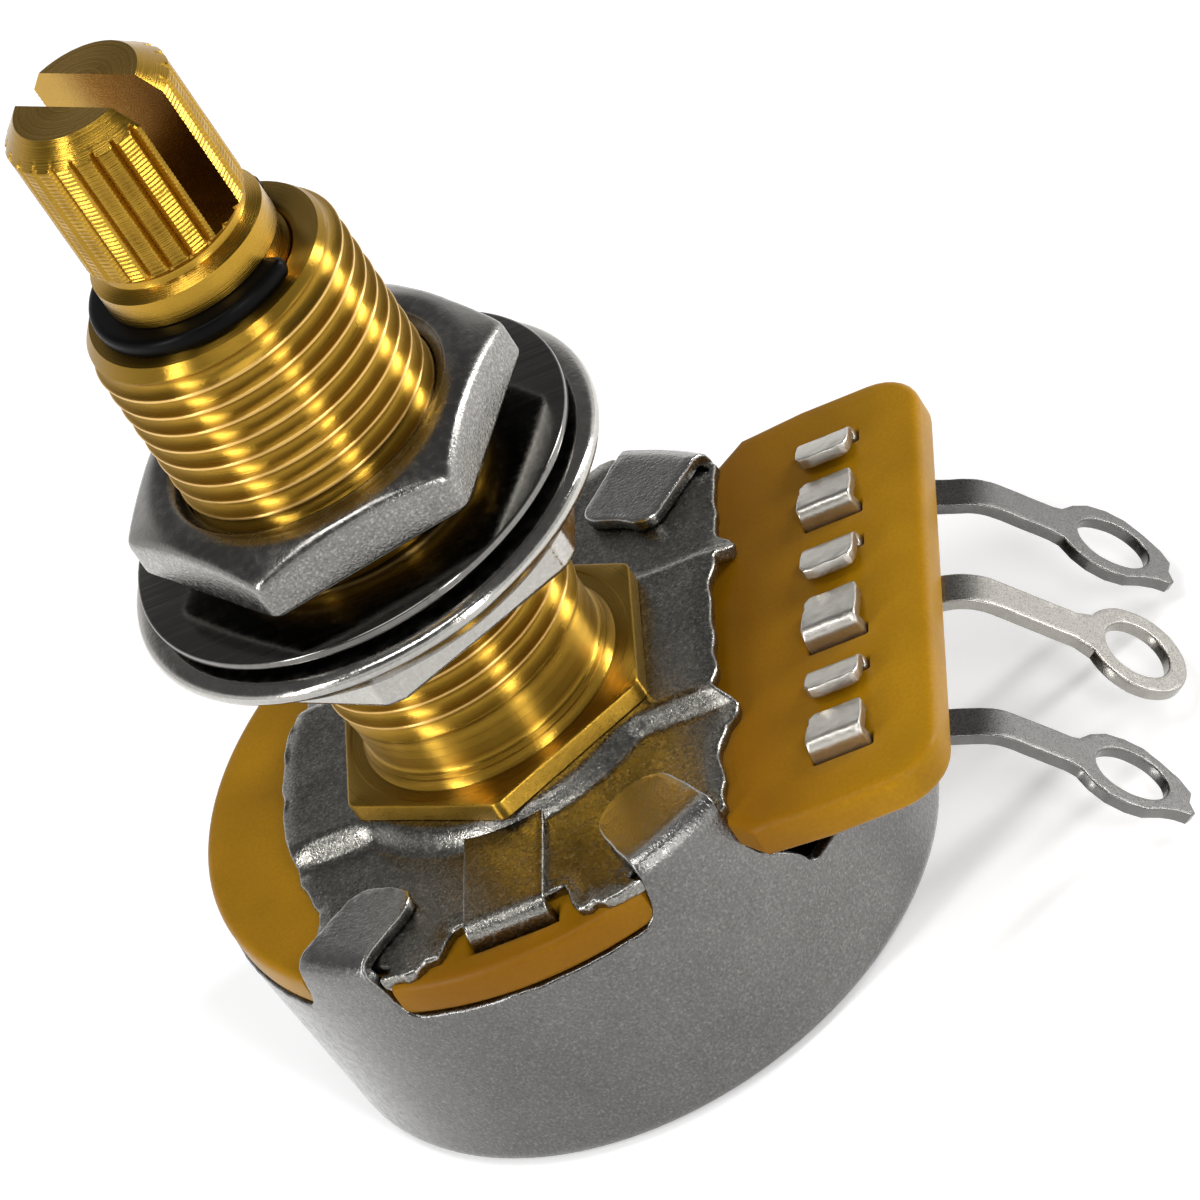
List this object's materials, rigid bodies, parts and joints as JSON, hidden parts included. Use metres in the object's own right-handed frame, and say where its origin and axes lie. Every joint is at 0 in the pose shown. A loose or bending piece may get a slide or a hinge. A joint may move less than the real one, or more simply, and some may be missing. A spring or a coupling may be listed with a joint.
{
  "type": "potentiometer",
  "caption": "Panel rotary potentiometer with a long threaded brass bushing, split knurled shaft, steel cover, laminate board with bent solder lugs, nuts and washer",
  "frame": {"origin": "centre of the cover's flat back face, on the shaft's axis", "axes": "+Z along the shaft to its tip; +X to the solder lugs; +Y completes the right-handed frame"},
  "size_m": [0.0336, 0.0242, 0.0401],
  "materials": {
    "cover_steel": "zinc plated drawn steel, satin",
    "board_laminate": "amber paper laminate",
    "plate_steel": "dark plated pressed steel",
    "bushing_brass": "turned brass",
    "shaft_brass": "turned and knurled brass",
    "tinned_brass": "tin plated stamping",
    "carbon_track": "printed carbon",
    "silver_pad": "silvered ink",
    "black_spring_steel": "black oxide",
    "rotor_plastic": "moulded phenolic",
    "washer_plastic": "smooth nylon",
    "spring_bronze": "phosphor bronze strip",
    "nickel_nut": "nickel plated",
    "polished_nickel": "polished nickel plate"
  },
  "bodies": {
    "case": {"cover": "cover_steel", "terminal_board": "board_laminate", "front_plate": "plate_steel", "bushing": "bushing_brass", "lug_start": "tinned_brass", "lug_wiper": "tinned_brass", "lug_end": "tinned_brass", "resistance_track": "carbon_track", "pad_start": "silver_pad", "pad_end": "silver_pad", "collector_ring": "tinned_brass"},
    "shaft": {"shaft": "shaft_brass", "retaining_ring": "black_spring_steel", "rotor": "rotor_plastic", "thrust_washer": "washer_plastic", "wiper_spring": "spring_bronze"},
    "flange_nut": {"flange_nut": "nickel_nut"},
    "dress_washer": {"dress_washer": "polished_nickel"},
    "hex_nut": {"hex_nut": "nickel_nut"}
  },
  "joints": [
    {"name": "shaft_turn", "type": "hinge", "parent": "case", "child": "shaft", "pos_m": [0, 0, 0.03164], "axis": [0, 0, 1], "range_deg": [-150, 150]},
    {"name": "flange_nut_travel", "type": "slide", "parent": "case", "child": "flange_nut", "axis": [0, 0, 1], "range_m": [-0.0035, 0]},
    {"name": "washer_travel", "type": "slide", "parent": "case", "child": "dress_washer", "axis": [0, 0, 1], "range_m": [0, 0.00617]},
    {"name": "hex_nut_turn", "type": "hinge", "parent": "dress_washer", "child": "hex_nut", "pos_m": [0, 0, 0.0248], "axis": [0, 0, 1], "range_deg": [0, 2799]}
  ],
  "couplings": [
    {"joint": "hex_nut_turn", "follows": "washer_travel", "rad_per_m": 7915.8}
  ]
}
